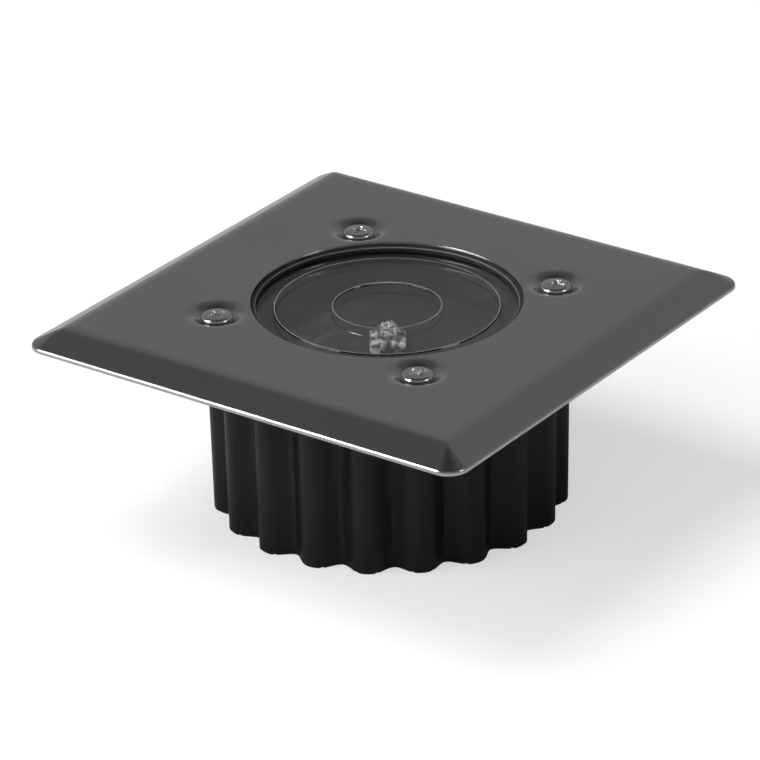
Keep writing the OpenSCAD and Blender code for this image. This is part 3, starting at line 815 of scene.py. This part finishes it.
def fluted_housing():
    """The housing's shape again, with its skirt's outer face drawn to full, evenly rounded lobes."""
    housing = new_object("housing_fluted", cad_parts["housing"].data.copy())
    pitch = 2 * math.pi / LOBES
    for vertex in housing.data.vertices:
        x, y, z = (c / MM for c in vertex.co)
        r, a = math.hypot(x, y), math.atan2(y, x)
        phase = (a - LOBE_START) / pitch
        phase -= round(phase)
        if z < SKIRT_TOP and on_skirt_face(r, r * math.sin(phase * pitch)):
            tip = LOBE_TIP_R + z * DRAFT - (SKIRT_CHAMFER if z < SKIRT_CHAMFER / 2 else 0.0)
            out = max(r, tip - LOBE_DEPTH * flute_share(phase)) * MM
            vertex.co.x, vertex.co.y = out * math.cos(a), out * math.sin(a)
    normals = housing.data.attributes.get("custom_normal")
    if normals is not None:
        housing.data.attributes.remove(normals)
    housing.data.shade_smooth()
    housing.data.set_sharp_from_angle(angle=SKIRT_SHARP_OVER)
    finish_piece(housing, ["housing"])


# Clear lens and its gasket

def clear_lens():
    """The lens with its raised middle and shallow inner disc; its rim and both circles are grey bands,
    painted highlights of its edge and moulded steps.
    """
    top, bottom = LENS_HIGH.z / MM, LENS_LOW.z / MM
    rim = top - LENS_STEP
    r = LENS_HIGH.x / MM
    soft = LENS_STEP / 2
    profile = [(0.0, bottom), (DISC_R, bottom), (r - soft, bottom), (r, bottom + soft), (r, rim - soft),
               (r - soft, rim), (STEP_R + LENS_STEP, rim), (STEP_R + LINE_W / 2, top),
               (STEP_R - LINE_W / 2, top), (DISC_R + LINE_W, top), (DISC_R, top), (DISC_R - soft, rim),
               (DISC_R / 2, rim), (0.0, rim)]
    v, f = lathe(profile, DISC_SEGMENTS)
    highlight_bands = RIM_BANDS + LINE_BANDS
    indices = [1 if i // DISC_SEGMENTS in highlight_bands else 0 for i in range(len(f))]
    lens = mesh_object("lens_clear_disc", v, f, [LENS, STEP_HIGHLIGHT], indices, smooth_angle=25)
    finish_piece(lens, ["lens"])


def gasket():
    """The rubber ring over the lens's rim, its inner upper edge rounded and painted lighter as a highlight.
    """
    low, high = GASKET_LOW.z / MM, GASKET_HIGH.z / MM
    outer = GASKET_HIGH.x / MM
    r = GASKET_ROUND
    profile = [(GASKET_IN, low), (outer, low), (outer, high), (GASKET_IN + r, high)]
    first_highlit = len(profile) - 1
    for i in range(1, GASKET_ROUND_STEPS + 1):
        a = math.pi / 2 * i / GASKET_ROUND_STEPS
        profile.append((GASKET_IN + r - r * math.sin(a), high - r + r * math.cos(a)))
    profile.append((GASKET_IN, low))
    v, f = lathe(profile, DISC_SEGMENTS)
    highlit = range(first_highlit, first_highlit + GASKET_ROUND_STEPS)
    indices = [1 if i // DISC_SEGMENTS in highlit else 0 for i in range(len(f))]
    ring = mesh_object("lens_gasket_ring", v, f, [RUBBER, RUBBER_EDGE], indices, smooth_angle=40)
    weld = ring.modifiers.new("weld", "WELD")
    weld.merge_threshold = WELD_REACH * MM
    apply_modifiers(ring)
    finish_piece(ring, ["lens_gasket"])


# Camera, at the photograph's view; AIM_HEIGHT, AIM_SIDE and SENSOR are in millimetres

AZIMUTH = math.radians(35.75)
ELEVATION = math.radians(26.07)
ROLL = math.radians(-1.188)
CAMERA_DISTANCE = 960.0 * MM
FOCAL_PIXELS = 4487.0
PICTURE = 760
SENSOR = 36.0
AIM_HEIGHT = PLATE_TOP - 19.29
AIM_SIDE = -1.84


def make_camera():
    data = bpy.data.cameras.new("camera")
    data.sensor_width = SENSOR
    data.lens = SENSOR * FOCAL_PIXELS / PICTURE
    camera = new_object("camera", data)
    back = Vector((math.sin(AZIMUTH) * math.cos(ELEVATION), -math.cos(AZIMUTH) * math.cos(ELEVATION),
                   math.sin(ELEVATION)))
    right = Vector((math.cos(AZIMUTH), math.sin(AZIMUTH), 0.0))
    up = back.cross(right)
    right_rolled = right * math.cos(ROLL) + up * math.sin(ROLL)
    up_rolled = up * math.cos(ROLL) - right * math.sin(ROLL)
    aim = Vector((0.0, 0.0, AIM_HEIGHT * MM)) + right * AIM_SIDE * MM
    turn = Matrix((right_rolled, up_rolled, back)).transposed()
    camera.matrix_world = Matrix.Translation(aim + back * CAMERA_DISTANCE) @ turn.to_4x4()
    bpy.context.scene.camera = camera


# Floor and light; sizes in metres, powers in watts

FLOOR_HALF = 6.0
FLOOR_DARK = 0.48
FLOOR_LIGHT = 0.5
FLOOR_GLOW = 0.56
SKY_STOPS = ((0.0, 0.32), (0.13, 0.29), (0.3, 0.24), (0.44, 0.215), (0.68, 0.185), (0.78, 0.105),
             (0.87, 0.11), (1.0, 0.045))
LIGHT_AIM_HEIGHT = 0.02


def floor_material():
    """A plain pale finish that is white to the camera and through the lens, and keeps its shadows."""
    material, tree, shader = new_material("floor_white")
    spots = noise_value(tree, object_coords(tree), scale=40.0)
    colour = mixed_colour(tree, spots, grey(FLOOR_DARK), grey(FLOOR_LIGHT))
    tree.links.new(colour, shader.inputs["Base Color"])
    shader.inputs["Roughness"].default_value = 0.8
    shader.inputs["Specular IOR Level"].default_value = 0.1
    path = add(tree, "ShaderNodeLightPath")
    seen = combined(tree, "MAXIMUM", path.outputs["Is Camera Ray"], path.outputs["Is Transmission Ray"])
    shader.inputs["Emission Color"].default_value = grey(1.0)
    tree.links.new(combined(tree, "MULTIPLY", seen, FLOOR_GLOW), shader.inputs["Emission Strength"])
    return material


def make_floor():
    mesh = bpy.data.meshes.new("floor")
    corners = [(-FLOOR_HALF, -FLOOR_HALF, 0), (FLOOR_HALF, -FLOOR_HALF, 0), (FLOOR_HALF, FLOOR_HALF, 0),
               (-FLOOR_HALF, FLOOR_HALF, 0)]
    mesh.from_pydata(corners, [], [(0, 1, 2, 3)])
    mesh.materials.append(floor_material())
    floor = new_object("floor", mesh)


def make_world():
    """A studio sky: bright at the horizon, dimmer towards the top."""
    world = bpy.data.worlds.new("studio")
    bpy.context.scene.world = world
    world.use_nodes = True
    tree = world.node_tree
    coords = add(tree, "ShaderNodeTexCoord")
    ramp = add(tree, "ShaderNodeValToRGB")
    elements = ramp.color_ramp.elements
    elements[0].position, elements[0].color = SKY_STOPS[0][0], grey(SKY_STOPS[0][1])
    elements[1].position, elements[1].color = SKY_STOPS[-1][0], grey(SKY_STOPS[-1][1])
    for position, value in SKY_STOPS[1:-1]:
        elements.new(position).color = grey(value)
    tree.links.new(upright_part(tree, coords.outputs["Generated"]), ramp.inputs["Fac"])
    tree.links.new(ramp.outputs["Color"], tree.nodes["Background"].inputs["Color"])


def make_light(name, direction, distance, size, power, glossy=True):
    """A round area light that faces the object; glossy says whether it shows in reflections."""
    data = bpy.data.lights.new(name, "AREA")
    data.shape = "DISK"
    data.size = size
    data.energy = power
    lamp = new_object(name, data)
    towards = Vector(direction).normalized()
    lamp.location = towards * distance + Vector((0.0, 0.0, LIGHT_AIM_HEIGHT))
    lamp.rotation_mode = "QUATERNION"
    lamp.rotation_quaternion = towards.to_track_quat("Z", "Y")
    lamp.visible_glossy = glossy


cover_plate()
fluted_housing()
clear_lens()
gasket()
for screw_index in range(4):
    cover_screw(screw_index)
make_camera()
make_floor()
make_world()
make_light("key", (-0.55, -0.2, 1.25), distance=1.6, size=1.0, power=18.0, glossy=False)
make_light("fill", (0.4, -0.9, 0.9), distance=1.8, size=1.0, power=4.0, glossy=False)
make_light("softbox_left", (-0.55, -0.74, 0.4), distance=1.6, size=1.2, power=10.5)
make_light("softbox_right", (0.86, 0.19, 0.49), distance=1.6, size=0.5, power=1.8)
make_light("sparkle", (-0.5, -0.66, 0.85), distance=1.6, size=0.35, power=2.6)
bpy.context.scene.view_settings.view_transform = "Standard"
